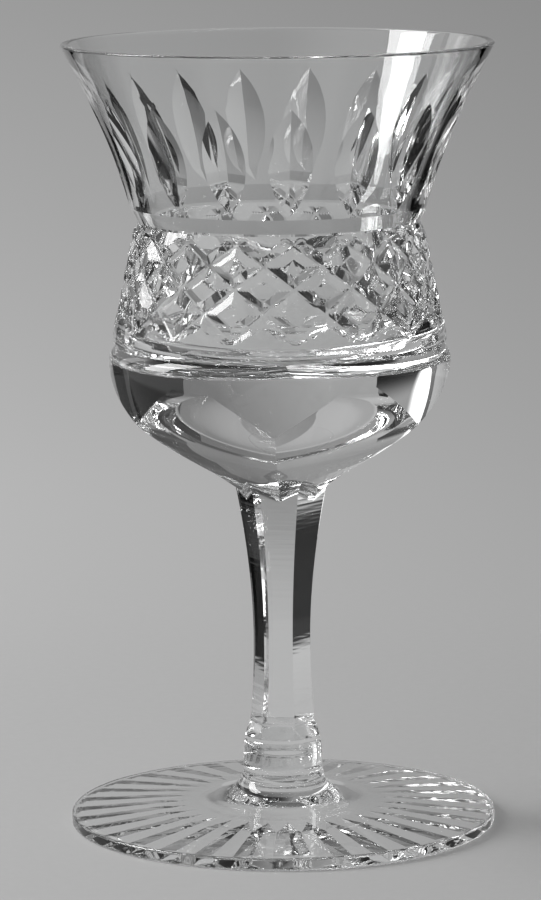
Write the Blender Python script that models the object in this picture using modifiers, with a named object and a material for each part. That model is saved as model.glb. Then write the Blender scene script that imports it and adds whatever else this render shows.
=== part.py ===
"""Stemmed liqueur glass in cut crystal: bowl, stem, joining wafer and foot, each its own solid.

Metres, +Z up, the foot stands on z = 0 and the axis of the glass is the Z axis.
Azimuths are counted from the front, which is -Y, and grow towards +X.
"""

import math

import bmesh
import bpy
from mathutils import Matrix, Vector

# Heights of the sections, from the table up
FOOT_HEIGHT = 0.0044
WAFER_HEIGHT = 0.0065
STEM_LENGTH = 0.03575
BULB_HEIGHT = 0.01535
GROOVE_HEIGHT = 0.0036
BAND_HEIGHT = 0.0131
RING_HEIGHT = 0.0016
STRIP_HEIGHT = 0.00225
FLARE_HEIGHT = 0.02155
SEAM = 0.0003

# Radii of the sections
RIM_RADIUS = 0.0286
STRIP_RADIUS = 0.01975
WAIST_RADIUS = 0.0188
BAND_TOP_RADIUS = 0.0195
BAND_LOW_RADIUS = 0.0222
GROOVE_RADIUS = 0.0217
BULB_RADIUS = 0.02275
BULB_NECK_RADIUS = 0.0078
STEM_TOP_RADIUS = 0.00615
STEM_WAIST_RADIUS = 0.00384
STEM_END_RADIUS = 0.0048
WAFER_RADIUS = 0.0053
WAFER_LOW_RADIUS = 0.0068
FOOT_RADIUS = 0.02856
FOOT_EDGE = 0.0017

# Pyramid at the stem's top that carries the bulb's panels on, measured to its flats
NECK_RADIUS = 0.0074
NECK_LOW_RADIUS = 0.0043
NECK_HEIGHT = 0.0024

# Glass thickness at the lip, the strip and the foot of the diamond band, and under the cavity
LIP_WALL = 0.0010
STRIP_WALL = 0.00175
BAND_WALL = 0.0042
BASE_WALL = 0.01345

# How far the cavity's widest and narrowest points lie above the foot of the band and the strip's top
BELLY_LIFT = 0.0003
THROAT_LIFT = 0.0011

# Underside of the foot: a ring to stand on, and a hollow that deepens to a level middle
REST_RADIUS = 0.0266
HOLLOW_RADIUS = 0.0110
HOLLOW_DEPTH = 0.0013

# Leaf cuts on the flare
LEAVES = 16
LEAF_TURN = math.radians(4.0)
LEAF_START = 0.0006
LEAF_RISE = 0.0140
LEAF_DEPTH = 0.00095
LEAF_WIDTH = 0.0058

# Diamond cuts on the band
DIAMONDS = 16
DIAMOND_TURN = math.radians(5.5)
DIAMOND_DEPTH = 0.0008
DIAMOND_WIDTH = 0.0027
DIAMOND_MARGIN = 0.0013
DIAMOND_RISE = 0.0122
DIAMOND_EASE = 0.17
DIAMOND_RUN = 1.1
DIAMOND_OVERCUT = 0.00004

# Panels round the bulb, flats along the stem and the star under the foot
PANELS = 6
PANEL_TURN = math.radians(-2.0)
FLATS = 6
FLAT_TURN = math.radians(-8.0)
RAYS = 32
RAY_TURN = math.radians(2.5)
RAY_INNER_RADIUS = 0.0150
RAY_OUTER_RADIUS = 0.0265
RAY_DEPTH = 0.0007
RAY_WIDTH = 0.0028

# How far cutters stand out of the glass and envelopes run past its ends, and the small roundings
CUTTER_SPARE = 0.0005
ENVELOPE_SPARE = 0.0040
CUT_RUNOUT = 0.0012
BLANK_SPARE = 0.00005
END_ROUND = 0.0006

ROUND_STEPS = 64
CUT_STEPS = 8
FLARE_STEPS = 6
FINE = 0.00002

# Levels that follow from the section heights
WAFER_Z = FOOT_HEIGHT + SEAM
STEM_Z = WAFER_Z + WAFER_HEIGHT + SEAM
BOWL_Z = STEM_Z + STEM_LENGTH + SEAM
BULB_TOP_Z = BOWL_Z + BULB_HEIGHT
GROOVE_Z = BULB_TOP_Z + 0.6 * GROOVE_HEIGHT
BAND_LOW_Z = BULB_TOP_Z + GROOVE_HEIGHT
BAND_TOP_Z = BAND_LOW_Z + BAND_HEIGHT
WAIST_Z = BAND_TOP_Z + RING_HEIGHT
STRIP_Z = WAIST_Z + STRIP_HEIGHT
RIM_Z = STRIP_Z + FLARE_HEIGHT

parts = bpy.data.collections.new("liqueur_glass")
helpers = bpy.data.collections.new("cutters")


def clear_scene():
    """Take away every object the start-up scene holds."""
    for obj in list(bpy.data.objects):
        bpy.data.objects.remove(obj, do_unlink=True)
    bpy.context.scene.collection.children.link(parts)
    bpy.context.scene.collection.children.link(helpers)


def glass(name, roughness):
    """Clear glass for one piece."""
    material = bpy.data.materials.new(name)
    material.use_nodes = True
    shader = material.node_tree.nodes["Principled BSDF"]
    shader.inputs["Base Color"].default_value = (0.97, 0.98, 0.98, 1.0)
    shader.inputs["Roughness"].default_value = roughness
    shader.inputs["IOR"].default_value = 1.545
    shader.inputs["Transmission Weight"].default_value = 1.0
    return material


def bend(start, pull, end, steps):
    """Points of a curve that leaves start towards pull and reaches end coming from pull, both ends in."""
    points = []
    for step in range(steps + 1):
        t = step / steps
        points.append(
            tuple(
                (1 - t) ** 2 * a + 2 * t * (1 - t) * b + t**2 * c
                for a, b, c in zip(start, pull, end)
            )
        )
    return points


def swing(start, pull, draw, end, steps):
    """Points of a curve with two pulls, one for each end."""
    points = []
    for step in range(steps + 1):
        t = step / steps
        w = ((1 - t) ** 3, 3 * t * (1 - t) ** 2, 3 * t**2 * (1 - t), t**3)
        points.append(
            tuple(
                w[0] * a + w[1] * b + w[2] * c + w[3] * d
                for a, b, c, d in zip(start, pull, draw, end)
            )
        )
    return points


def turned(name, outline, steps, collection, turn=0.0):
    """Turn an outline of (radius, height) points, drawn top to bottom on its outer side, about the Z axis."""
    mesh = bpy.data.meshes.new(name)
    corners = [(radius, 0.0, height) for radius, height in outline]
    edges = [(i, i + 1) for i in range(len(corners) - 1)]
    mesh.from_pydata(corners, edges, [])
    obj = bpy.data.objects.new(name, mesh)
    collection.objects.link(obj)
    obj.rotation_euler.z = turn
    screw = obj.modifiers.new("turn", "SCREW")
    screw.steps = steps
    screw.render_steps = steps
    screw.use_merge_vertices = True
    screw.merge_threshold = FINE
    screw.use_smooth_shade = True
    return obj


def hidden(obj):
    """Keep a cutter out of the result."""
    obj.hide_render = True
    obj.display_type = "WIRE"
    return obj


def cut(obj, cutter, operation="DIFFERENCE"):
    """Join a cutter to a piece as a Boolean."""
    boolean = obj.modifiers.new(cutter.name, "BOOLEAN")
    boolean.operation = operation
    boolean.solver = "EXACT"
    boolean.object = cutter
    return boolean


def v_cutters(name, section, moves, azimuths):
    """Carry a V section along a path, one move after the other, and copy the cutter to each azimuth.

    The section and the path are drawn at +X, and a copy at an azimuth is turned to it about the Z axis.
    """
    shape = bmesh.new()
    face = shape.faces.new([shape.verts.new(point) for point in section])
    for step, move in enumerate(moves):
        grown = bmesh.ops.extrude_face_region(shape, geom=[face])["geom"]
        if step > 0:
            shape.faces.remove(face)
        face = next(item for item in grown if isinstance(item, bmesh.types.BMFace))
        corners = [item for item in grown if isinstance(item, bmesh.types.BMVert)]
        bmesh.ops.transform(shape, matrix=move, verts=corners)
    bmesh.ops.recalc_face_normals(shape, faces=shape.faces)
    first = list(shape.verts) + list(shape.edges) + list(shape.faces)
    spins = [azimuth - math.pi / 2 for azimuth in azimuths]
    for spin in spins[1:]:
        copy = bmesh.ops.duplicate(shape, geom=first)["geom"]
        corners = [item for item in copy if isinstance(item, bmesh.types.BMVert)]
        bmesh.ops.rotate(shape, matrix=Matrix.Rotation(spin, 3, "Z"), verts=corners)
    corners = [item for item in first if isinstance(item, bmesh.types.BMVert)]
    bmesh.ops.rotate(shape, matrix=Matrix.Rotation(spins[0], 3, "Z"), verts=corners)
    mesh = bpy.data.meshes.new(name)
    shape.to_mesh(mesh)
    shape.free()
    obj = bpy.data.objects.new(name, mesh)
    helpers.objects.link(obj)
    return hidden(obj)


def wheel_cutters(name, middle, outward, length, depth, width, azimuths):
    """Cutters of a V-edged wheel let into a surface: a leaf of the given length, depth and width.

    middle is the point of the surface under the middle of the cut and outward its normal, both at +X.
    """
    radius = length**2 / (8 * depth) + depth / 2
    reach = depth + CUTTER_SPARE
    spread = width / 2 / depth * reach
    centre = middle + outward * (radius - depth)
    half = 1.25 * math.asin(min(0.95, length / 2 / radius))
    axis = Vector((0.0, 1.0, 0.0))
    tip = -outward * radius
    base = -outward * (radius - reach)
    lean = Matrix.Translation(centre) @ Matrix.Rotation(-half, 4, axis)
    section = [lean @ tip, lean @ (base + axis * spread), lean @ (base - axis * spread)]
    move = Matrix.Translation(centre) @ Matrix.Rotation(2 * half / CUT_STEPS, 4, axis)
    move = move @ Matrix.Translation(-centre)
    return v_cutters(name, section, [move] * CUT_STEPS, azimuths)


def around(count, turn):
    """Azimuths of a ring of like cuts."""
    return [turn + 2 * math.pi * k / count for k in range(count)]


def flare_curve(steps):
    """Outer curve of the flare, rim to the top of the turned strip."""
    top = (RIM_RADIUS, RIM_Z - 0.6 * LIP_WALL)
    spread = RIM_RADIUS - STRIP_RADIUS
    pull = (STRIP_RADIUS + 0.243 * spread, STRIP_Z + 0.406 * FLARE_HEIGHT)
    return bend(top, pull, (STRIP_RADIUS, STRIP_Z), steps)


def panel_curve():
    """Distance of the bulb's flat panels from the axis, top to neck."""
    curve = swing(
        (BULB_RADIUS, BULB_TOP_Z),
        (0.991 * BULB_RADIUS, BOWL_Z + 0.668 * BULB_HEIGHT),
        (0.677 * BULB_RADIUS, BOWL_Z + 0.3225 * BULB_HEIGHT),
        (0.378 * BULB_RADIUS, BOWL_Z + 0.0423 * BULB_HEIGHT),
        8,
    )
    return curve + [(BULB_NECK_RADIUS, BOWL_Z)]


def bulb_curve():
    """Round body of the bulb before the panels are cut, top to neck, where it stands clear of them."""
    curve = bend(
        (BULB_RADIUS, BULB_TOP_Z),
        (0.993 * BULB_RADIUS, BOWL_Z + 0.668 * BULB_HEIGHT),
        (0.835 * BULB_RADIUS, BOWL_Z + 0.16 * BULB_HEIGHT),
        6,
    )
    return curve + [(1.02 * BULB_NECK_RADIUS / math.cos(math.pi / PANELS), BOWL_Z)]


def cavity_curve():
    """Inner curve of the bowl, from its level floor up to the lip."""
    floor_z = BOWL_Z + BASE_WALL
    belly = (BAND_LOW_RADIUS - BAND_WALL, BAND_LOW_Z + BELLY_LIFT)
    throat = (STRIP_RADIUS - STRIP_WALL, STRIP_Z + THROAT_LIFT)
    lip = (RIM_RADIUS - LIP_WALL, RIM_Z - 0.6 * LIP_WALL)
    lower = swing(
        (0.0, floor_z),
        (0.83 * belly[0], floor_z),
        (1.01 * belly[0], floor_z + 0.14 * (belly[1] - floor_z)),
        belly,
        6,
    )
    middle = swing(
        belly,
        (0.956 * belly[0], belly[1] + 0.48 * (throat[1] - belly[1])),
        (0.917 * throat[0], throat[1] - 0.32 * (throat[1] - belly[1])),
        throat,
        4,
    )
    spread = lip[0] - throat[0]
    pull = (throat[0] + 0.26 * spread, throat[1] + 0.42 * (lip[1] - throat[1]))
    return lower + middle[1:] + bend(throat, pull, lip, 4)[1:]


def make_bowl():
    """Turned bowl with its groove rings, cut with panels, leaves and diamonds."""
    lip = [
        (RIM_RADIUS - 0.8 * LIP_WALL, RIM_Z - 0.12 * LIP_WALL),
        (RIM_RADIUS - 0.5 * LIP_WALL, RIM_Z),
        (RIM_RADIUS - 0.2 * LIP_WALL, RIM_Z - 0.12 * LIP_WALL),
    ]
    rings = [
        (WAIST_RADIUS, WAIST_Z),
        (BAND_TOP_RADIUS, BAND_TOP_Z),
        (BAND_LOW_RADIUS, BAND_LOW_Z),
        (GROOVE_RADIUS, GROOVE_Z),
    ]
    outline = cavity_curve() + lip + flare_curve(FLARE_STEPS) + rings + bulb_curve()
    outline.append((0.0, BOWL_Z))
    bowl = turned("bowl", outline, ROUND_STEPS, parts)
    bowl.data.materials.append(glass("bowl_glass", 0.01))
    add_panels(bowl)
    add_leaves(bowl)
    add_diamonds(bowl)
    return bowl


def add_panels(bowl):
    """Cut the flat panels round the bulb, which run out in arches under the groove."""
    corner = 1 / math.cos(math.pi / PANELS)
    wide = 2 * RIM_RADIUS
    curve = panel_curve()
    top_z = RIM_Z + ENVELOPE_SPARE
    low_z = BOWL_Z - ENVELOPE_SPARE
    outline = [(0.0, top_z), (wide, top_z), (wide, BULB_TOP_Z + CUT_RUNOUT)]
    outline.append((corner * 1.004 * BULB_RADIUS, BULB_TOP_Z))
    outline += [(corner * radius, height) for radius, height in curve[1:]]
    outline += [(outline[-1][0], low_z), (0.0, low_z)]
    turn = PANEL_TURN - math.pi / 2
    envelope = turned("panel_envelope", outline, PANELS, helpers, turn)
    cut(bowl, hidden(envelope), "INTERSECT")


def add_leaves(bowl):
    """Cut one row of pointed leaves into the flare with a V-edged wheel.

    The wheel is set on the chord between the leaf's two tips, and goes below it by the curve's own sag
    and the depth of the cut.
    """
    curve = [Vector(point) for point in flare_curve(40 * FLARE_STEPS)]
    low_z = STRIP_Z + LEAF_START
    leaf = [point for point in curve if low_z <= point.y <= low_z + LEAF_RISE]
    chord = leaf[0] - leaf[-1]
    outward = Vector((chord.y, -chord.x)).normalized()
    between = (leaf[0] + leaf[-1]) / 2
    sag = max((between - point).dot(outward) for point in leaf)
    depth = LEAF_DEPTH + sag
    cutters = wheel_cutters(
        "leaf_wheel",
        Vector((between.x, 0.0, between.y)),
        Vector((outward.x, 0.0, outward.y)),
        chord.length,
        depth,
        LEAF_WIDTH / LEAF_DEPTH * depth,
        around(LEAVES, LEAF_TURN),
    )
    cut(bowl, cutters)


def add_diamonds(bowl):
    """Cut two families of slanting V grooves into the band, which cross in diamonds.

    The grooves steepen a little downwards, and the second family goes a shade deeper, so that its
    grooves run through at the crossings.
    """
    low_z = BAND_LOW_Z + DIAMOND_MARGIN
    shares = [DIAMOND_RUN * step / CUT_STEPS for step in range(CUT_STEPS + 1)]
    levels = [low_z + DIAMOND_RISE * share * (1 + DIAMOND_EASE * (1 - share)) for share in shares]
    top_z = levels[-1]
    slope = (BAND_TOP_RADIUS - BAND_LOW_RADIUS) / BAND_HEIGHT
    low_r = BAND_LOW_RADIUS + slope * DIAMOND_MARGIN
    top_r = BAND_LOW_RADIUS + slope * (top_z - BAND_LOW_Z)
    sweep = 2 * 2 * math.pi / DIAMONDS * DIAMOND_RUN
    rise = math.atan2(top_z - low_z, sweep * (low_r + top_r) / 2)
    flank = DIAMOND_WIDTH / 2 / DIAMOND_DEPTH
    families = (
        ("diamond_right", 1.0, DIAMOND_DEPTH),
        ("diamond_left", -1.0, DIAMOND_DEPTH + DIAMOND_OVERCUT),
    )
    for name, hand, depth in families:
        spread = flank * (depth + CUTTER_SPARE)
        across = Vector((0.0, -hand * math.sin(rise), math.cos(rise)))
        base = Vector((low_r + CUTTER_SPARE, 0.0, low_z))
        section = [Vector((low_r - depth, 0.0, low_z)), base + across * spread, base - across * spread]
        moves = []
        for z_now, z_next in zip(levels, levels[1:]):
            grow = (low_r + slope * (z_next - low_z)) / (low_r + slope * (z_now - low_z))
            move = Matrix.Translation((0.0, 0.0, z_next))
            move = move @ Matrix.Rotation(hand * sweep / CUT_STEPS, 4, "Z")
            move = move @ Matrix.Diagonal((grow, grow, 1.0, 1.0))
            moves.append(move @ Matrix.Translation((0.0, 0.0, -z_now)))
        cut(bowl, v_cutters(name, section, moves, around(DIAMONDS, DIAMOND_TURN)))


def stem_curve():
    """Corner line of the cut stem, top to the run-out of its flats."""
    waist = (STEM_WAIST_RADIUS, STEM_Z + 0.369 * STEM_LENGTH)
    upper = bend(
        (STEM_TOP_RADIUS, STEM_Z + 0.96 * STEM_LENGTH),
        (STEM_WAIST_RADIUS, STEM_Z + 0.64 * STEM_LENGTH),
        waist,
        8,
    )
    end = (0.9 * STEM_END_RADIUS, STEM_Z + 0.0755 * STEM_LENGTH)
    lower = bend(waist, (STEM_WAIST_RADIUS, STEM_Z + 0.207 * STEM_LENGTH), end, 5)
    return upper + lower[1:]


def make_stem():
    """Round blank cut with long flats that run out at its lower end, and the neck's pyramid on top."""
    top_z = STEM_Z + STEM_LENGTH
    flat_z = top_z - 0.27 * NECK_HEIGHT
    over_radius = 1.03 * STEM_TOP_RADIUS
    blank = [(0.0, flat_z), (over_radius, flat_z)]
    blank += [(radius + BLANK_SPARE, height) for radius, height in stem_curve()]
    blank += [
        (STEM_END_RADIUS, STEM_Z + END_ROUND),
        (0.97 * STEM_END_RADIUS, STEM_Z),
        (0.0, STEM_Z),
    ]
    stem = turned("stem", blank, ROUND_STEPS, parts)
    stem.data.materials.append(glass("stem_glass", 0.01))
    wide = 2 * STEM_TOP_RADIUS
    over_z = top_z + ENVELOPE_SPARE
    under_z = STEM_Z - ENVELOPE_SPARE
    outline = [(0.0, over_z), (over_radius, over_z), (over_radius, flat_z)]
    outline += stem_curve()
    outline += [(1.35 * STEM_END_RADIUS, STEM_Z + 0.5 * END_ROUND), (wide, under_z), (0.0, under_z)]
    turn = FLAT_TURN - math.pi / 2 + math.pi / FLATS
    cut(stem, hidden(turned("flat_envelope", outline, FLATS, helpers, turn)), "INTERSECT")
    corner = 1 / math.cos(math.pi / PANELS)
    low_z = top_z - NECK_HEIGHT
    outline = [(0.0, top_z), (corner * NECK_RADIUS, top_z), (corner * NECK_LOW_RADIUS, low_z), (0.0, low_z)]
    turn = PANEL_TURN - math.pi / 2
    cut(stem, hidden(turned("neck", outline, PANELS, helpers, turn)), "UNION")
    return stem


def make_wafer():
    """Round wafer of glass that joins stem and foot, widening downwards."""
    top_z = WAFER_Z + WAFER_HEIGHT
    outline = [(0.0, top_z)]
    outline += bend(
        (WAFER_RADIUS - END_ROUND, top_z), (WAFER_RADIUS, top_z), (WAFER_RADIUS, top_z - END_ROUND), 3
    )
    outline += bend(
        (WAFER_RADIUS, WAFER_Z + 0.55 * WAFER_HEIGHT),
        (WAFER_RADIUS, WAFER_Z + 0.12 * WAFER_HEIGHT),
        (WAFER_LOW_RADIUS, WAFER_Z),
        4,
    )
    outline.append((0.0, WAFER_Z))
    wafer = turned("merese", outline, ROUND_STEPS, parts)
    wafer.data.materials.append(glass("merese_glass", 0.01))
    return wafer


def make_foot():
    """Disc foot, highest at its boss, hollow underneath with a star of V cuts, and a ring to stand on."""
    shoulder = (WAFER_LOW_RADIUS + 0.2 * (FOOT_RADIUS - WAFER_LOW_RADIUS), 0.75 * FOOT_HEIGHT)
    edge_in = FOOT_RADIUS - 0.35 * FOOT_EDGE
    outline = [(0.0, FOOT_HEIGHT)]
    outline += bend(
        (WAFER_LOW_RADIUS, FOOT_HEIGHT),
        (WAFER_LOW_RADIUS + 2 * END_ROUND, 0.8 * FOOT_HEIGHT),
        shoulder,
        3,
    )
    outline += bend((edge_in, FOOT_EDGE), (FOOT_RADIUS, FOOT_EDGE), (FOOT_RADIUS, 0.5 * FOOT_EDGE), 2)
    outline += bend((FOOT_RADIUS, 0.4 * FOOT_EDGE), (FOOT_RADIUS, 0.0), (edge_in, 0.0), 2)
    outline += [(REST_RADIUS, 0.0), (HOLLOW_RADIUS, HOLLOW_DEPTH), (0.0, HOLLOW_DEPTH)]
    foot = turned("foot", outline, ROUND_STEPS, parts)
    foot.data.materials.append(glass("foot_glass", 0.01))
    slope = HOLLOW_DEPTH / (REST_RADIUS - HOLLOW_RADIUS)
    middle_radius = (RAY_INNER_RADIUS + RAY_OUTER_RADIUS) / 2
    middle = Vector((middle_radius, 0.0, slope * (REST_RADIUS - middle_radius)))
    outward = Vector((-slope, 0.0, -1.0)).normalized()
    azimuths = around(RAYS, RAY_TURN)
    for name, own in (("ray_wheel_even", azimuths[0::2]), ("ray_wheel_odd", azimuths[1::2])):
        cutters = wheel_cutters(
            name,
            middle,
            outward,
            RAY_OUTER_RADIUS - RAY_INNER_RADIUS,
            RAY_DEPTH,
            RAY_WIDTH,
            own,
        )
        cut(foot, cutters)
    return foot


clear_scene()
make_foot()
make_wafer()
make_stem()
make_bowl()
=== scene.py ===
"""Looks of a stemmed liqueur glass in cut crystal, laid out as an add-on and run as a script.

Metres, +Z up, the axis of the glass is the Z axis and its foot stands on z = 0.
Azimuths are counted from the front, which is -Y, and grow towards +X.
"""

import math
from functools import partial

import bpy
import numpy as np
from bpy.props import FloatProperty, FloatVectorProperty, IntProperty, PointerProperty
from mathutils import Matrix, Vector


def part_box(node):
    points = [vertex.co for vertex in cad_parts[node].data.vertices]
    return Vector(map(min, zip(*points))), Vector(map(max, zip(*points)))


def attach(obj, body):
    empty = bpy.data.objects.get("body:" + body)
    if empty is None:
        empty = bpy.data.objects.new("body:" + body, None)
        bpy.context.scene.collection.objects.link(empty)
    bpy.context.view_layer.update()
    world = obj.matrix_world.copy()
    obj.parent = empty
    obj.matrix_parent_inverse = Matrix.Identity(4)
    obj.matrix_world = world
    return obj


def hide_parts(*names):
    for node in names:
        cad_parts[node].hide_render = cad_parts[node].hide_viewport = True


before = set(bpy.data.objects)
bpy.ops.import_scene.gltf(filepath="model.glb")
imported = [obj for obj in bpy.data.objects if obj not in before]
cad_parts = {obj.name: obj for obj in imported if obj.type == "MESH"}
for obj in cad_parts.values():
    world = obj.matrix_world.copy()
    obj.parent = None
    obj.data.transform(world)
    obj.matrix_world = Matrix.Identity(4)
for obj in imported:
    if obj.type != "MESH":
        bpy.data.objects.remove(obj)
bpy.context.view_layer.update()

bl_info = {
    "name": "Cut Crystal Liqueur Glass",
    "version": (1, 0, 0),
    "blender": (4, 5, 0),
    "location": "View3D > Sidebar > Glass",
    "description": "Builds the bowl, stem, merese and foot of a cut liqueur glass, and its stage",
    "category": "Add Mesh",
}

BODY = "root"
FULL_TURN = 2.0 * math.pi
SHARP_ANGLE = math.radians(6.0)


def length(name, words, default):
    """A size in metres."""
    return FloatProperty(
        name=name, description=words, default=default, min=0.0,
        precision=5, subtype="DISTANCE", unit="LENGTH",
    )


def level(name, words, default):
    """A height above the table in metres."""
    return FloatProperty(
        name=name, description=words, default=default, precision=5, subtype="DISTANCE", unit="LENGTH"
    )


def angle(name, words, degrees):
    """An angle, given in degrees."""
    return FloatProperty(
        name=name, description=words, default=math.radians(degrees), subtype="ANGLE", unit="ROTATION"
    )


def number(name, words, default):
    """A plain number."""
    return FloatProperty(name=name, description=words, default=default, precision=4)


def count(name, words, default):
    """A whole number of like things."""
    return IntProperty(name=name, description=words, default=default, min=1)


def colour(name, words, default):
    """A colour in linear light."""
    return FloatVectorProperty(
        name=name, description=words, default=default, size=3, min=0.0, max=1.0, subtype="COLOR"
    )


def seam_between(lower, upper):
    """Height half way across the seam between two CAD nodes."""
    return (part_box(lower)[1].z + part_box(upper)[0].z) / 2


class BowlSizes(bpy.types.PropertyGroup):
    """Sizes of the turned bowl."""

    rim_radius: length("Rim radius", "Outer radius at the rim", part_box("bowl")[1].x)
    rim_level: level("Rim level", "Height of the rim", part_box("bowl")[1].z)
    lip: length("Lip", "Thickness of the wall at the lip", 0.0010)
    lip_lean: angle("Lip lean", "How far the wall leans out at the lip", 28.0)
    lip_bend: length("Lip bend", "Radius of the lip's rounded edges", 0.00025)
    flare_pull_radius: length("Flare pull radius", "Radius that the flare's curve is drawn to", 0.0219)
    flare_pull_level: level("Flare pull level", "Height that the flare's curve is drawn to", 0.0922)
    strip_radius: length("Strip radius", "Radius at the top of the turned strip under the flare", 0.01975)
    strip_top: level("Strip top", "Height of the strip's top edge", 0.08345)
    waist_radius: length("Waist radius", "Radius at the notch under the flare", 0.0188)
    band_top_radius: length("Band top radius", "Radius at the top of the diamond band", 0.0195)
    band_top: level("Band top", "Height of the diamond band's top edge", 0.0796)
    band_low_radius: length("Band low radius", "Radius at the foot of the diamond band", 0.0222)
    band_low: level("Band low", "Height of the diamond band's lower edge", 0.0665)
    groove_radius: length("Groove radius", "Radius at the bottom of the groove over the bulb", 0.0217)
    groove_level: level("Groove level", "Height of the groove's bottom", 0.06505)
    bulb_radius: length("Bulb radius", "Largest radius of the bulb", 0.02275)
    bulb_top: level("Bulb top", "Height of the bulb's shoulder", 0.0629)
    neck_reach: length("Neck reach", "Distance of the panels from the axis at the neck", 0.0045)
    neck_level: level("Neck level", "Height of that point of the neck", 0.0450)
    neck_joint: level("Neck joint", "Height of the fused joint with the stem", 0.0474)
    cavity_floor: level("Cavity floor", "Height of the level floor inside", 0.0620)
    cavity_belly: length("Cavity belly", "Largest inner radius of the lower chamber", 0.0180)
    waist_wall: length("Waist wall", "Thickness of the wall at the waist", 0.0020)


class CutSizes(bpy.types.PropertyGroup):
    """Sizes of the wheel cuts round the bowl."""

    leaves: count("Leaves", "Pointed leaves round the flare", 16)
    leaf_turn: angle("Leaf turn", "Azimuth of one leaf", 4.0)
    leaf_low: level("Leaf low", "Height of the leaves' lower tips", 0.0840)
    leaf_tip: level("Leaf tip", "Height of the leaves' upper tips", 0.0980)
    leaf_depth: length("Leaf depth", "Depth of a leaf at its middle", 0.00095)
    leaf_drift: angle("Leaf drift", "How far the hand-set leaves have drifted at the back", 8.3)
    leaf_width: length("Leaf width", "Width of a leaf at its middle", 0.0058)
    diamond_turn: angle("Diamond turn", "Azimuth of one crossing in the lowest row", 5.5)
    diamond_low: level("Diamond low", "Height of the lowest row of crossings", 0.0678)
    diamond_step: length("Diamond step", "Rise to the second row of crossings", 0.00357)
    diamond_ease: length("Diamond ease", "How much the rows close up towards the top", 0.00013)
    diamond_depth: length("Diamond depth", "Depth of the crossing grooves", 0.0008)
    panels: count("Panels", "Flat panels round the bulb", 6)
    panel_turn: angle("Panel turn", "Azimuth of one ridge between panels", -2.0)


class StemSizes(bpy.types.PropertyGroup):
    """Sizes of the cut stem and the merese under it."""

    flats: count("Flats", "Flats round the stem", 6)
    flat_turn: angle("Flat turn", "Azimuth of the middle of one flat", -8.0)
    top_radius: length("Top radius", "Corner radius at the top", 0.00615)
    top_level: level("Top level", "Height at which that radius is measured", 0.0458)
    fillet: length("Fillet", "How far the hollow between stem and bulb reaches", 0.0012)
    waist_radius: length("Waist radius", "Corner radius where the stem is slimmest", 0.00384)
    waist_level: level("Waist level", "Height of the slimmest place", 0.0247)
    end_radius: length("End radius", "Corner radius where the flats start to run out", 0.00432)
    end_level: level("End level", "Height where the flats start to run out", 0.0142)
    round_radius: length("Round radius", "Radius of the round end under the flats", 0.0050)
    runout: level("Run-out", "Height where the flats have run out", 0.0118)
    stem_joint: level("Stem joint", "Height of the joint with the merese", seam_between("merese", "stem"))
    merese_radius: length("Merese radius", "Radius of the merese", 0.0053)
    merese_low_radius: length("Merese low radius", "Radius of the merese on the foot", 0.0068)
    merese_joint: level("Merese joint", "Height of the joint with the foot", seam_between("foot", "merese"))


class FootSizes(bpy.types.PropertyGroup):
    """Sizes of the disc foot and of the star under it."""

    radius: length("Foot radius", "Outer radius of the foot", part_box("foot")[1].x)
    edge: length("Edge", "Thickness at the edge", 0.0017)
    edge_bend: length("Edge bend", "Radius of the edge's rounded corners", 0.0004)
    shoulder_radius: length("Shoulder radius", "Radius where the boss has run out", 0.0108)
    shoulder: level("Shoulder", "Height of the foot's top at that radius", 0.0033)
    rest_radius: length("Rest radius", "Radius of the ring that the foot rests on", 0.0270)
    hollow: length("Hollow", "Rise of the underside from the ring to its middle", 0.0013)
    rays: count("Rays", "Rays of the star underneath", 32)
    ray_turn: angle("Ray turn", "Azimuth of one ray", 2.5)
    ray_inner: length("Ray inner end", "Radius of the rays' inner tips", 0.0128)
    ray_meet: length("Ray meeting", "Radius where neighbouring rays meet", 0.0168)
    ray_outer: length("Ray outer end", "Radius of the rays' outer ends", 0.0279)
    ray_end: length("Ray end", "How far the rays take to run out at their outer ends", 0.0010)
    ray_slope: number("Ray slope", "Slope of the rays' flanks", 0.17)


class CrystalFinish(bpy.types.PropertyGroup):
    """Finish of the crystal."""

    tint: colour("Tint", "Colour of the light that goes through", (0.985, 0.988, 0.988))
    cloud: colour("Cloud", "Colour where the crystal is a trace denser", (0.968, 0.974, 0.975))
    cloud_size: length("Cloud size", "Width of the denser places", 0.012)
    index: number("Index", "Index of refraction of the crystal", 1.545)
    ripple_size: length("Ripple size", "Width of the slow ripples that the hot glass keeps", 0.009)
    ripple: length("Ripple", "Height of those ripples", 0.000012)
    mark_size: length("Mark size", "Height of the fine marks that the polishing wheel leaves", 0.0006)
    mark_length: length("Mark length", "Length of those marks", 0.012)
    mark: length("Mark", "Depth of those marks", 0.000016)
    haze_size: length("Haze size", "Width of the dulled places", 0.006)
    haze: number("Haze", "Roughness where handling has dulled the polish most", 0.03)


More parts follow.
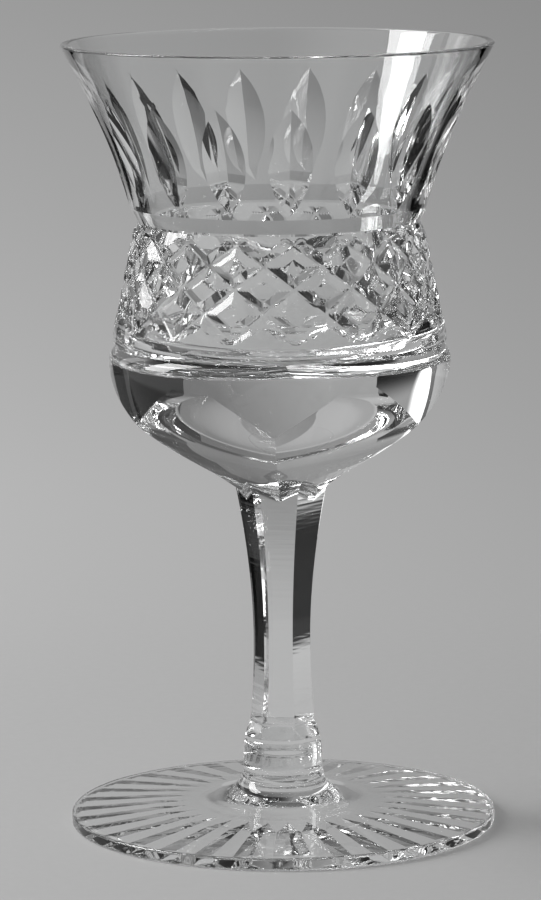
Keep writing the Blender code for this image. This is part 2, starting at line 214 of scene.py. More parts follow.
class StageLook(bpy.types.PropertyGroup):
    """The sheet that the glass stands on, the window light and the camera."""

    sheet: colour("Sheet", "Colour of the pale sheet", (0.63, 0.63, 0.63))
    sheet_fleck: colour("Sheet fleck", "Colour of the sheet's fine flecks", (0.59, 0.59, 0.59))
    fleck_size: length("Fleck size", "Width of the sheet's fine flecks", 0.0015)
    # Glow strengths beside the sheet that only rays in or through the glass see: painted light and shade of
    # the room, the dark table in shade, lighter in front and high on the window's side.
    table: number("Table", "Tone of the table beside the sheet, as the glass shows it", 0.01)
    far_right: number("Far right", "Tone low on the far right, as the glass shows it", 0.22)
    near_side: number("Near side", "Tone of the table in front and beside, as the glass shows it", 0.55)
    far_left: number("Far left", "Tone high on the far left, on the window's side", 1.0)
    painted_light_far_edge: number("Far edge", "Tone at the very end of the left side, beside the window", 5.0)
    sheet_half: length("Sheet half width", "Half the width of the sheet beside the glass", 0.067)
    sheet_centre: level("Sheet centre", "Where the sheet's middle line passes the glass", -0.006)
    sheet_front: level("Sheet front", "How far behind the glass the pale surface in front ends", -0.03)
    sheet_turn: number("Sheet turn", "How far back the pale surface goes at the sides, for each unit", 0.75)
    sheet_straight: length("Sheet straight", "How far behind the glass the sheet starts to widen", 0.08)
    sheet_spread: number("Sheet spread", "How fast the sheet widens behind the glass", 0.45)
    # Painted glow mixed into the matt sheet near the glass, which lifts the glass's shadow.
    painted_shadow_lift: number("Sheet lift", "Share of the backdrop's glow in the sheet beside the glass", 0.35)
    # Glow of the sheet, painted light: it stands in for the window's light on the sheet, which fades
    # towards the back, the top and the right.
    painted_glow_near: number("Backdrop near", "Brightness of the sheet close to the camera", 0.452)
    painted_glow_far: number("Backdrop far", "Brightness of the sheet where it starts to rise", 0.300)
    painted_glow_top: number("Backdrop top", "Brightness of the sheet high up", 0.20)
    painted_glow_lean: number("Backdrop lean", "How fast the backdrop darkens to the right", 1.8)
    room_light: number("Room light", "Brightness of the room on the window's side", 0.60)
    room_dark: number("Room dark", "Brightness of the room on the other side", 0.03)
    room_turn: number("Room turn", "Where the room is half light, -1 at the left to 1 at the right", -0.25)
    room_fade: number("Room fade", "How soft the change between the two sides is", 0.35)
    room_plain: number("Room plain", "Brightness of the room where the camera sees it", 0.40)
    window_power: number("Window power", "Power of the window light", 12.0)
    bounces: count("Bounces", "How often light may turn inside the crystal", 16)
    camera_distance: length("Camera distance", "Distance from the axis", 0.5858)
    camera_level: level("Camera level", "Height of the camera", 0.1455)
    camera_pitch: angle("Camera pitch", "How far the camera looks down", 9.21)
    camera_yaw: angle("Camera yaw", "How far the camera looks past the axis", 0.13)
    camera_roll: angle("Camera roll", "How far the camera leans", -0.46)
    camera_focal: number("Camera focal length", "Focal length in image heights", 4.9356)


# Curves and grids


def drawn(pulls, steps):
    """Points of a drawn curve: at t from 0 to 1 the pulls are summed, each with its binomial weight."""
    t = np.linspace(0.0, 1.0, steps + 1)[:, None]
    degree = len(pulls) - 1
    terms = [
        math.comb(degree, k) * t**k * (1.0 - t) ** (degree - k) * np.asarray(pull)
        for k, pull in enumerate(pulls)
    ]
    return np.sum(terms, axis=0)


def read_radius(outline, heights):
    """Radius of an outline of (radius, height) points, which only rises, at the given heights."""
    return np.interp(heights, outline[:, 1], outline[:, 0])


def placed(radius, height, azimuth):
    """Grid points at a radius and height, turned to an azimuth: x = r sin a, y = -r cos a."""
    x = radius * np.sin(azimuth)
    y = -radius * np.cos(azimuth)
    return np.stack(np.broadcast_arrays(x, y, height), axis=-1)


def sector(edge, half, inside, outside):
    """Azimuths across a sector, one row for each edge, from -half up to but without +half.

    Even steps run from the middle to the edge of the cut, then even steps from there to the sector's end.
    """
    to_edge = np.linspace(0.0, 1.0, inside + 1)
    to_end = np.linspace(0.0, 1.0, outside + 1)[1:]
    cut = edge[:, None]
    side = np.concatenate([cut * to_edge, cut + (half - cut) * to_end], axis=1)
    return np.concatenate([-side[:, :0:-1], side[:, :-1]], axis=1)


def ring_quads(first, last, columns):
    """Quads between neighbouring rows first to last of a grid that closes round the axis."""
    row = np.arange(first, last)[:, None] * columns
    here = np.arange(columns)[None, :]
    following = (here + 1) % columns
    corners = (row + here, row + following, row + columns + following, row + columns + here)
    return np.stack(corners, axis=-1).reshape(-1, 4)


def star_triangles(first, last, columns):
    """Triangles between every second row, each cell split to a middle point of the row between."""
    row = np.arange(first, last, 2)[:, None] * columns
    here = np.arange(columns)[None, :]
    following = (here + 1) % columns
    low_a, low_b = row + here, row + following
    top_a, top_b = low_a + 2 * columns, low_b + 2 * columns
    middle = low_a + columns
    sides = ((low_a, low_b), (low_b, top_b), (top_b, top_a), (top_a, low_a))
    cells = [np.stack(np.broadcast_arrays(a, b, middle), axis=-1).reshape(-1, 3) for a, b in sides]
    return np.concatenate(cells)


def fan(row, columns, centre, upward):
    """Triangles from a ring to a centre point, facing up or down."""
    here = row * columns + np.arange(columns)
    following = row * columns + (np.arange(columns) + 1) % columns
    hub = np.full(columns, centre)
    ends = (here, following, hub) if upward else (following, here, hub)
    return np.stack(ends, axis=-1)


def stacked(rows, columns, low, top):
    """Points of stacked rings with a hub at each end, the number of rings, and the fans of both ends."""
    points = np.concatenate([row.reshape(-1, 3) for row in rows])
    rings = len(points) // columns
    low_end = fan(0, columns, len(points), False)
    top_end = fan(rings - 1, columns, len(points) + 1, True)
    hubs = np.array([(0.0, 0.0, low), (0.0, 0.0, top)])
    return np.concatenate([points, hubs]), rings, low_end, top_end


def build_piece(context, name, points, faces, joints, glass, nodes):
    """Mesh object from points and face arrays, with the joint faces last, riding on the CAD body."""
    groups = [np.asarray(group) for group in faces + joints]
    loops = np.concatenate([group.ravel() for group in groups])
    sizes = np.concatenate([np.full(len(group), group.shape[1]) for group in groups])
    starts = np.concatenate([[0], np.cumsum(sizes)[:-1]])
    mesh = bpy.data.meshes.new(name)
    mesh.vertices.add(len(points))
    mesh.loops.add(len(loops))
    mesh.polygons.add(len(sizes))
    mesh.vertices.foreach_set("co", np.asarray(points, dtype=np.float32).ravel())
    mesh.loops.foreach_set("vertex_index", loops.astype(np.int32))
    mesh.polygons.foreach_set("loop_start", starts.astype(np.int32))
    mesh.polygons.foreach_set("use_smooth", np.ones(len(sizes), dtype=bool))
    slots = np.zeros(len(sizes), dtype=np.int32)
    joint_faces = sum(len(group) for group in joints)
    if joint_faces:
        slots[-joint_faces:] = 1
    mesh.materials.append(glass)
    mesh.materials.append(joint_material())
    mesh.polygons.foreach_set("material_index", slots)
    mesh.update(calc_edges=True)
    if mesh.validate():
        raise RuntimeError(name + " has faulty faces")
    mesh.set_sharp_from_angle(angle=SHARP_ANGLE)
    piece = bpy.data.objects.new(name, mesh)
    context.scene.collection.objects.link(piece)
    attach(piece, BODY)
    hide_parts(*nodes)
    return piece


# Materials

# Levels of the noise between which the polish goes from clear to dull
HAZE_START, HAZE_FULL = 0.55, 0.85


def smooth_ramp(tree, value, low, high, start=0.0, end=1.0):
    """Goes from start, where the value is low, to end, where it is high, smooth between."""
    node = tree.nodes.new("ShaderNodeMapRange")
    node.interpolation_type = "SMOOTHSTEP"
    tree.links.new(value, node.inputs["Value"])
    for socket, setting in (("From Min", low), ("From Max", high), ("To Min", start), ("To Max", end)):
        node.inputs[socket].default_value = setting
    return node.outputs[0]


def two_tone(tree, factor, first, second):
    """Colour that goes from the first to the second with the factor."""
    node = tree.nodes.new("ShaderNodeMix")
    node.data_type = "RGBA"
    tree.links.new(factor, node.inputs["Factor"])
    node.inputs["A"].default_value = (*first, 1.0)
    node.inputs["B"].default_value = (*second, 1.0)
    return node.outputs["Result"]


def crystal(context, name, wheel_cut):
    """Clear polished crystal: slow ripples from the furnace, a trace of cloud, and dulled spots.

    A wheel-cut piece also has fine level marks, long round the axis and short along it.
    """
    finish = context.scene.crystal_finish
    material = bpy.data.materials.new(name)
    material.use_nodes = True
    tree = material.node_tree
    nodes, links = tree.nodes, tree.links
    shader = nodes["Principled BSDF"]
    place = nodes.new("ShaderNodeTexCoord")

    def noise(across, along, detail):
        """Noise on the object's own coordinates, with features of the given sizes."""
        stretch = nodes.new("ShaderNodeMapping")
        stretch.inputs["Scale"].default_value = (1.0 / across, 1.0 / across, 1.0 / along)
        links.new(place.outputs["Object"], stretch.inputs["Vector"])
        texture = nodes.new("ShaderNodeTexNoise")
        texture.inputs["Scale"].default_value = 1.0
        texture.inputs["Detail"].default_value = detail
        links.new(stretch.outputs["Vector"], texture.inputs["Vector"])
        return texture.outputs["Fac"]

    def bump(height, depth, under=None):
        """Normal bent by a height of the given depth, over another bent normal if there is one."""
        node = nodes.new("ShaderNodeBump")
        node.inputs["Strength"].default_value = 1.0
        node.inputs["Distance"].default_value = depth
        links.new(height, node.inputs["Height"])
        if under:
            links.new(under, node.inputs["Normal"])
        return node.outputs["Normal"]

    clouds = noise(finish.cloud_size, finish.cloud_size, 2.0)
    links.new(two_tone(tree, clouds, finish.tint, finish.cloud), shader.inputs["Base Color"])
    spots = noise(finish.haze_size, finish.haze_size, 3.0)
    dull = smooth_ramp(tree, spots, HAZE_START, HAZE_FULL, 0.0, finish.haze)
    links.new(dull, shader.inputs["Roughness"])
    normal = bump(noise(finish.ripple_size, finish.ripple_size, 0.0), finish.ripple)
    if wheel_cut:
        normal = bump(noise(finish.mark_length, finish.mark_size, 1.0), finish.mark, normal)
    links.new(normal, shader.inputs["Normal"])
    shader.inputs["IOR"].default_value = finish.index
    shader.inputs["Transmission Weight"].default_value = 1.0
    return material


def joint_material():
    """The fused joint inside the glass, which light crosses unbent."""
    name = "fused_joint"
    material = bpy.data.materials.get(name)
    if material is None:
        material = bpy.data.materials.new(name)
        material.use_nodes = True
        material.node_tree.nodes["Principled BSDF"].inputs["Alpha"].default_value = 0.0
    return material


# Bowl

BOWL_COLUMNS = 288
DIAMOND_COLUMNS = 18
DIAMOND_ROWS = 5
HALF_GROOVE = 5.0 / DIAMOND_COLUMNS
CURVE_STEPS = 60
FLARE_STEPS = 200

# Bulb: points of its curves as radius and height, and where its round body starts
PANEL_KNEE = (0.0086, 0.0482)
PANEL_PULL = (0.0154, 0.0525)
PANEL_EASE = 0.0002
NECK_SPARE = 0.002
BODY_FOOT = (0.0190, 0.0500)
BODY_PULL = (0.0226, 0.0578)
BODY_FROM = 0.0510
NO_BODY = 1.0
ARCH_LEAST, ARCH_MOST = 0.03, 0.97
CREST_PULL = 0.0011
BROW = (0.00005, -0.00015)
GROOVE_TOP = (0.00003, 0.00055)
SHOULDER_BEND = 0.75

# Diamonds: rows of crossings where the grooves start and stop, and how fast they deepen there
GROOVE_START, GROOVE_RISE = -0.03, 0.6
GROOVE_STOP, GROOVE_FALL = 4.45, 0.4

# Flare: the notch under it, and how its columns follow the leaves
NOTCH_STEP, NOTCH_RISE = 0.00004, 0.0003
LEAF_INSIDE = 5
LEAF_SETTLE = 0.0025
LEAF_LEAST = 0.012
LEAF_TURN_IN = 5.0

# Cavity: rows of the flare that its wall follows, and the pulls of its lower curves
WALL_ROWS = slice(8, 192, 6)
WALL_PULL = 0.0060
BELLY_LIFT = 0.0003
BELLY_PULL = (-0.0008, 0.0085)
POOL_SIDE, POOL_RISE, POOL_FLAT = 1.01, 0.0025, 0.78


def panel_outline(sizes):
    """Distance of the panels from the axis: a straight pyramid at the neck, then a round shoulder."""
    neck = (sizes.neck_reach, sizes.neck_level)
    slope = (PANEL_KNEE[0] - neck[0]) / (PANEL_KNEE[1] - neck[1])
    low = (neck[0] - slope * NECK_SPARE, neck[1] - NECK_SPARE)
    upright = (sizes.bulb_radius - PANEL_EASE, BODY_PULL[1])
    shoulder = (sizes.bulb_radius, sizes.bulb_top)
    curve = drawn((PANEL_KNEE, PANEL_PULL, upright, shoulder), CURVE_STEPS)
    return np.concatenate([[low, neck], curve])


def bulb_rows(sizes, cuts):
    """Rows of the bulb: the smaller of its round body and its flat panels, r = d / cos(a) on a panel.

    The columns bend so that one of them follows the arch where panel and round body meet.
    """
    heights = np.linspace(sizes.neck_joint, sizes.bulb_top, 45)
    reach = read_radius(panel_outline(sizes), heights)
    half = math.pi / cuts.panels
    body = drawn((BODY_FOOT, BODY_PULL, (sizes.bulb_radius, sizes.bulb_top)), CURVE_STEPS)
    body_radius = np.where(heights < BODY_FROM, NO_BODY, read_radius(body, heights))
    widest, narrowest = math.cos(ARCH_MOST * half), math.cos(ARCH_LEAST * half)
    arch = np.arccos(np.clip(reach / body_radius, widest, narrowest))
    side = BOWL_COLUMNS // cuts.panels // 4
    local = np.tile(sector(arch, half, side, side), (1, cuts.panels))
    radius = np.minimum(body_radius[:, None], reach[:, None] / np.cos(local))
    step = FULL_TURN / BOWL_COLUMNS
    even = np.tile(np.arange(-2 * side, 2 * side) * step, cuts.panels)
    first_column = cuts.diamond_turn - DIAMOND_COLUMNS // 2 * step
    shift = int(round((cuts.panel_turn - first_column) / step))
    return heights, np.roll(radius, shift, axis=1), np.roll(local - even, shift, axis=1)


def shoulder_outline(sizes):
    """Outline from the bulb's crest, round into the groove and out again to the foot of the band."""
    crest = (sizes.bulb_radius, sizes.bulb_top)
    over = (crest[0], crest[1] + CREST_PULL)
    brow = (sizes.groove_radius + BROW[0], sizes.groove_level + BROW[1])
    groove = (sizes.groove_radius, sizes.groove_level)
    band = (sizes.band_low_radius + GROOVE_TOP[0], sizes.groove_level + GROOVE_TOP[1])
    return np.concatenate([drawn((crest, over, brow), 14)[1:], [groove, band]])


def diamond_rows(sizes, cuts):
    """Rows of the diamond band: a cone less the deeper of two families of V grooves.

    Row v of crossings lies at z = low + v step - v v ease. A groove of the first family follows
    a = v / 2 pitches, one of the second a = -v / 2, and their depth falls off evenly to both sides.
    """
    half_rows = DIAMOND_ROWS * DIAMOND_COLUMNS
    v = np.linspace(-0.5, DIAMOND_ROWS - 0.5, half_rows + 1)
    heights = cuts.diamond_low + v * cuts.diamond_step - v**2 * cuts.diamond_ease
    cone = np.array([[sizes.band_low_radius, sizes.band_low], [sizes.band_top_radius, sizes.band_top]])
    slope = (cone[1, 0] - cone[0, 0]) / (cone[1, 1] - cone[0, 1])
    cone_radius = cone[0, 0] + slope * (heights - cone[0, 1])
    bevel = (sizes.waist_radius - sizes.band_top_radius) / (heights[-1] - sizes.band_top)
    bevel_radius = sizes.band_top_radius + bevel * (heights - sizes.band_top)
    lip_radius = np.where(heights < sizes.band_low, sizes.band_low_radius, cone_radius)
    body = np.where(heights > sizes.band_top, bevel_radius, lip_radius)
    stagger = np.arange(half_rows + 1) % 2 / 2.0
    place = (np.arange(BOWL_COLUMNS)[None, :] + stagger[:, None]) / DIAMOND_COLUMNS - 0.5
    right = place - v[:, None] / 2
    left = place + v[:, None] / 2
    away = np.minimum(np.abs(right - np.round(right)), np.abs(left - np.round(left)))
    start = np.sqrt(np.clip((v - GROOVE_START) / GROOVE_RISE, 0.0, 1.0))
    stop = np.clip((GROOVE_STOP - v) / GROOVE_FALL, 0.0, 1.0)
    depth = cuts.diamond_depth * np.clip((start * stop)[:, None] - away / HALF_GROOVE, 0.0, None)
    radius = np.minimum(body[:, None], cone_radius[:, None] - depth)
    return heights, radius, stagger * FULL_TURN / BOWL_COLUMNS


def flare_outline(sizes, waist_level):
    """Outer curve from the notch: a short turned strip, then the flare up to where the lip starts."""
    notch = (sizes.waist_radius, waist_level)
    flat = (sizes.waist_radius + NOTCH_STEP, waist_level + NOTCH_RISE)
    strip = (sizes.strip_radius, sizes.strip_top)
    pull = (sizes.flare_pull_radius, sizes.flare_pull_level)
    flare = drawn((strip, pull, tuple(lip_arc(sizes)[0])), FLARE_STEPS)
    return np.concatenate([[notch, flat], flare])


def lip_arc(sizes):
    """Lip: a small arc from the outer wall, a narrow flat, and a small arc on to the inner wall.

    Both arcs end on the lean of the wall, so that no bend shows under the lip.
    """
    bend = sizes.lip_bend
    lean = sizes.lip_lean
    outer = np.linspace(-lean, math.pi / 2, 25)
    inner = np.linspace(math.pi / 2, math.pi - lean, 14)
    level = sizes.rim_level - bend
    middle = sizes.rim_radius - bend
    first = np.stack([middle + bend * np.cos(outer), level + bend * np.sin(outer)], axis=-1)
    middle = middle - (sizes.lip - 2 * bend) / math.cos(lean)
    second = np.stack([middle + bend * np.cos(inner), level + bend * np.sin(inner)], axis=-1)
    return np.concatenate([first, second])


def leaf_rows(sizes, cuts, waist_level):
    """Rows of the flare: its curve, less leaves let in along its normal by a V-edged wheel.

    Along a leaf the depth is d (1 - u u), with u from -1 at the lower tip to 1 at the upper one. Across it
    the flanks are planes, so at a distance y from the middle the depth is d - k y - y y / 2 r.
    """
    curve = flare_outline(sizes, waist_level)
    strip = np.linspace(waist_level + NOTCH_RISE, sizes.strip_top, 5)
    low = np.concatenate([[waist_level], strip, np.linspace(sizes.strip_top, cuts.leaf_low, 3)[1:]])
    leaf = np.linspace(cuts.leaf_low, cuts.leaf_tip, 33)[1:-1]
    top = np.linspace(cuts.leaf_tip, curve[-1, 1], 12)
    heights = np.concatenate([low, leaf, top])
    radius = read_radius(curve, heights)
    lean = np.interp(heights, curve[:, 1], np.gradient(curve[:, 0], curve[:, 1]))
    out_r = 1.0 / np.sqrt(1.0 + lean**2)
    out_z = -lean * out_r
    run = np.concatenate([[0.0], np.cumsum(np.hypot(np.diff(radius), np.diff(heights)))])
    first, last = np.interp((cuts.leaf_low, cuts.leaf_tip), heights, run)
    u = (run - (first + last) / 2) / ((last - first) / 2)
    middle = cuts.leaf_depth * np.clip(1.0 - u**2, 0.0, None)
    half_width = cuts.leaf_width / 2
    bend = float(np.interp((first + last) / 2, run, radius / out_r))
    k = (cuts.leaf_depth - half_width**2 / (2 * bend)) / half_width
    spread = radius / out_r
    edge = spread * (np.sqrt(k**2 + 2 * middle / spread) - k) / radius
    half = math.pi / cuts.leaves
    inside = LEAF_INSIDE
    outside = BOWL_COLUMNS // cuts.leaves // 2 - inside
    even_edge = half * inside / (inside + outside)
    beyond = np.clip(np.maximum(first - run, run - last) / LEAF_SETTLE, 0.0, 1.0)
    edge = np.maximum(edge, np.maximum(LEAF_LEAST * half, even_edge * beyond))
    local = np.tile(sector(edge, half, inside, outside), (1, cuts.leaves))
    across = np.abs(local) * radius[:, None]
    depth = np.clip(middle[:, None] - k * across - across**2 / (2 * spread[:, None]), 0.0, None)
    steps = np.arange(-inside - outside, inside + outside)
    even = np.tile(steps * FULL_TURN / BOWL_COLUMNS, cuts.leaves)
    cut_radius = radius[:, None] - out_r[:, None] * depth
    cut_height = heights[:, None] - out_z[:, None] * depth
    return cut_height, cut_radius, local - even


def cavity_outline(sizes, waist_level):
    """Inner curve from the lip down to the middle of the cavity's floor.

    Down the flare it lies inside the outer curve by a wall that thickens evenly from the lip.
    """
    outer = flare_outline(sizes, waist_level)[2:][::-1]
    across = np.gradient(outer, axis=0)
    normal = np.stack([-across[:, 1], across[:, 0]], axis=-1)
    normal = normal / np.hypot(across[:, 0], across[:, 1])[:, None]
    fall = (outer[0, 1] - outer[:, 1]) / (outer[0, 1] - sizes.strip_top)
    wall = sizes.lip + (sizes.waist_wall - sizes.lip) * fall
    upper = (outer - normal * wall[:, None])[WALL_ROWS]
    width, floor = sizes.cavity_belly, sizes.cavity_floor
    belly = (width, sizes.band_low + BELLY_LIFT)
    last = upper[-1]
    ahead = (last - upper[-2]) / np.hypot(*(last - upper[-2]))
    side = (belly[0] + BELLY_PULL[0], belly[1] + BELLY_PULL[1])
    lower = drawn((last, last + ahead * WALL_PULL, side, belly), 22)
    corner = (POOL_SIDE * width, floor + POOL_RISE)
    pool = drawn((belly, corner, (POOL_FLAT * width, floor), (0.0, floor)), 48)
    return np.concatenate([upper, lower[1:], pool[1:]])


class GLASS_OT_bowl(bpy.types.Operator):
    """Build the bowl with its leaves, diamonds and panels"""

    bl_idname = "glass.bowl"
    bl_label = "Bowl"

    def execute(self, context):
        sizes = context.scene.bowl_sizes
        cuts = context.scene.cut_sizes
        step = FULL_TURN / BOWL_COLUMNS
        even = cuts.diamond_turn + (np.arange(BOWL_COLUMNS) - DIAMOND_COLUMNS // 2) * step
        bulb_z, bulb_r, bulb_bend = bulb_rows(sizes, cuts)
        band_z, band_r, band_shift = diamond_rows(sizes, cuts)
        shoulder = shoulder_outline(sizes)
        flare_z, flare_r, flare_bend = leaf_rows(sizes, cuts, band_z[-1])
        flare_z, flare_r, flare_bend = flare_z[1:], flare_r[1:], flare_bend[1:]
        rise = np.linspace(0.0, 1.0, len(flare_z))
        turn_share = np.clip(rise * LEAF_TURN_IN, 0.0, 1.0)[:, None]
        drift = cuts.leaf_drift * (1.0 - np.cos(even)) / 2
        flare_turn = (cuts.leaf_turn - cuts.diamond_turn + drift) * turn_share
        inner = np.concatenate([lip_arc(sizes)[1:], cavity_outline(sizes, band_z[-1])[:-1]])
        last_bend = flare_bend[-1:] + flare_turn[-1:]
        settle = np.linspace(SHOULDER_BEND, 0.0, len(shoulder))[:, None]
        rows = [
            placed(bulb_r, bulb_z[:, None], even + bulb_bend),
            placed(shoulder[:, :1], shoulder[:, 1:], even + bulb_bend[-1:] * settle),
            placed(band_r, band_z[:, None], even + band_shift[:, None]),
            placed(flare_r, flare_z, even + flare_bend + flare_turn),
            placed(inner[:, :1], inner[:, 1:], even + last_bend),
        ]
        points, rings, low_end, top_end = stacked(rows, BOWL_COLUMNS, bulb_z[0], sizes.cavity_floor)
        band_first = len(bulb_z) + len(shoulder)
        band_last = band_first + len(band_z) - 1
        faces = [
            ring_quads(0, band_first, BOWL_COLUMNS),
            star_triangles(band_first, band_last, BOWL_COLUMNS),
            ring_quads(band_last, rings - 1, BOWL_COLUMNS),
            top_end,
        ]
        glass = crystal(context, "bowl_crystal", False)
        build_piece(context, "cut_bowl", points, faces, [low_end], glass, ("bowl",))
        return {"FINISHED"}


# Stem, merese and foot

STEM_COLUMNS = 180
MERESE_COLUMNS = 144
FOOT_COLUMNS = 384

# Stem: pulls of its curves as shares of their rise, the spare above, the neck, and the round end's taper
STEM_UPPER_PULL, STEM_LOWER_PULL = 0.46, 0.55
STEM_SPARE = 0.003
NECK_SPAN = 0.004
END_TAPER, TAPER_SPAN = 0.0004, 0.0016

# Merese: heights over its joint of its waist and of the pull under it, and the pull under its top
MERESE_WAIST, MERESE_SPREAD, MERESE_BEND = 0.0040, 0.0009, 0.0002

# Foot: the innermost ring underneath, how the columns follow the rays, and the pull of the boss
HUB_RADIUS = 0.0008
RAY_SETTLE = 0.0012
RAY_LEAST, RAY_MOST = 0.02, 0.97
BOSS_REACH, BOSS_LEVEL = 0.0016, 0.0037
# The hollow under the boss: radius, and its depth against the hollow's own
DISH = ((0.0, 1.7), (0.0045, 1.7), (0.0070, 1.55), (0.0090, 1.22), (0.0110, 1.0))


def corner_outline(sizes):
    """Corner radius of the stem, bottom to top: two drawn curves that meet where it is slimmest."""
    waist = (sizes.waist_radius, sizes.waist_level)
    rise = sizes.top_level - sizes.waist_level
    over = (waist[0], waist[1] + STEM_UPPER_PULL * rise)
    upper = drawn((waist, over, (sizes.top_radius, sizes.top_level)), CURVE_STEPS)
    drop = sizes.waist_level - sizes.end_level
    under = (waist[0], waist[1] - STEM_LOWER_PULL * drop)
    lower = drawn(((sizes.end_radius, sizes.end_level), under, waist), 30)
    slope = (upper[-1] - upper[-2]) / (upper[-1, 1] - upper[-2, 1])
    return np.concatenate([lower[:-1], upper, [upper[-1] + slope * STEM_SPARE]])


def flat_radius(azimuth, middle, flats):
    """Radius of a polygon of flats with corner radius 1.

    It is cos(half a flat) / cos(away), with the angle away from the middle of the flat.
    """
    sweep = FULL_TURN / flats
    away = (azimuth - middle + sweep / 2) % sweep - sweep / 2
    return math.cos(sweep / 2) / np.cos(away)


class GLASS_OT_stem(bpy.types.Operator):
    """Build the cut stem"""

    bl_idname = "glass.stem"
    bl_label = "Stem"

    def execute(self, context):
        sizes = context.scene.stem_sizes
        bowl = context.scene.bowl_sizes
        cuts = context.scene.cut_sizes
        azimuth = cuts.panel_turn + np.arange(STEM_COLUMNS) * FULL_TURN / STEM_COLUMNS
        flat = flat_radius(azimuth, sizes.flat_turn, sizes.flats)
        half_panel = math.pi / cuts.panels
        panel = flat_radius(azimuth, cuts.panel_turn + half_panel, cuts.panels) / math.cos(half_panel)
        corners = corner_outline(sizes)
        panels = panel_outline(bowl)
        long_z = np.linspace(sizes.end_level, sizes.top_level - NECK_SPAN, 60)[:, None]
        long_r = read_radius(corners, long_z) * flat
        neck_z = np.linspace(sizes.top_level - NECK_SPAN, bowl.neck_joint, 36)[1:, None]
        stem_r = read_radius(corners, neck_z) * flat
        bulb_r = read_radius(panels, neck_z) * panel
        close = np.clip(1.0 - np.abs(stem_r - bulb_r) / sizes.fillet, 0.0, None)
        neck_r = np.maximum(stem_r, bulb_r) + sizes.fillet * close**2 / 4
        fall = np.linspace(0.0, 1.0, 20)[:-1, None]
        out_z = sizes.stem_joint + (sizes.end_level - sizes.stem_joint) * fall
        swing = np.clip((sizes.end_level - out_z) / (sizes.end_level - sizes.runout), 0.0, None)
        flat_end = sizes.end_radius * math.cos(math.pi / sizes.flats)
        swell = 1.0 + (sizes.round_radius / flat_end - 1.0) * swing**2
        body = sizes.round_radius - END_TAPER * np.clip((out_z - sizes.runout) / TAPER_SPAN, 0.0, 1.0)
        out_r = np.minimum(body, sizes.end_radius * flat * swell)
        rows = [
            placed(out_r, out_z, azimuth),
            placed(long_r, long_z, azimuth),
            placed(neck_r, neck_z, azimuth),
        ]
        points, rings, *joints = stacked(rows, STEM_COLUMNS, sizes.stem_joint, bowl.neck_joint)
        faces = [ring_quads(0, rings - 1, STEM_COLUMNS)]
        glass = crystal(context, "stem_crystal", True)
        build_piece(context, "cut_stem", points, faces, joints, glass, ("stem",))
        return {"FINISHED"}


class GLASS_OT_merese(bpy.types.Operator):
    """Build the round wafer that joins stem and foot"""

    bl_idname = "glass.merese"
    bl_label = "Merese"

    def execute(self, context):
        sizes = context.scene.stem_sizes
        base, top = sizes.merese_joint, sizes.stem_joint
        low = (sizes.merese_low_radius, base)
        waist = (sizes.merese_radius, base + MERESE_WAIST)
        outline = np.concatenate(
            [
                drawn((low, (waist[0], base + MERESE_SPREAD), waist), 24),
                drawn((waist, (waist[0], top - MERESE_BEND), (sizes.round_radius, top)), 30)[1:],
            ]
        )
        azimuth = np.arange(MERESE_COLUMNS) * FULL_TURN / MERESE_COLUMNS
        rows = [placed(outline[:, :1], outline[:, 1:], azimuth)]
        points, rings, *joints = stacked(rows, MERESE_COLUMNS, base, top)
        faces = [ring_quads(0, rings - 1, MERESE_COLUMNS)]
        glass = crystal(context, "merese_crystal", False)
        build_piece(context, "round_merese", points, faces, joints, glass, ("merese",))
        return {"FINISHED"}


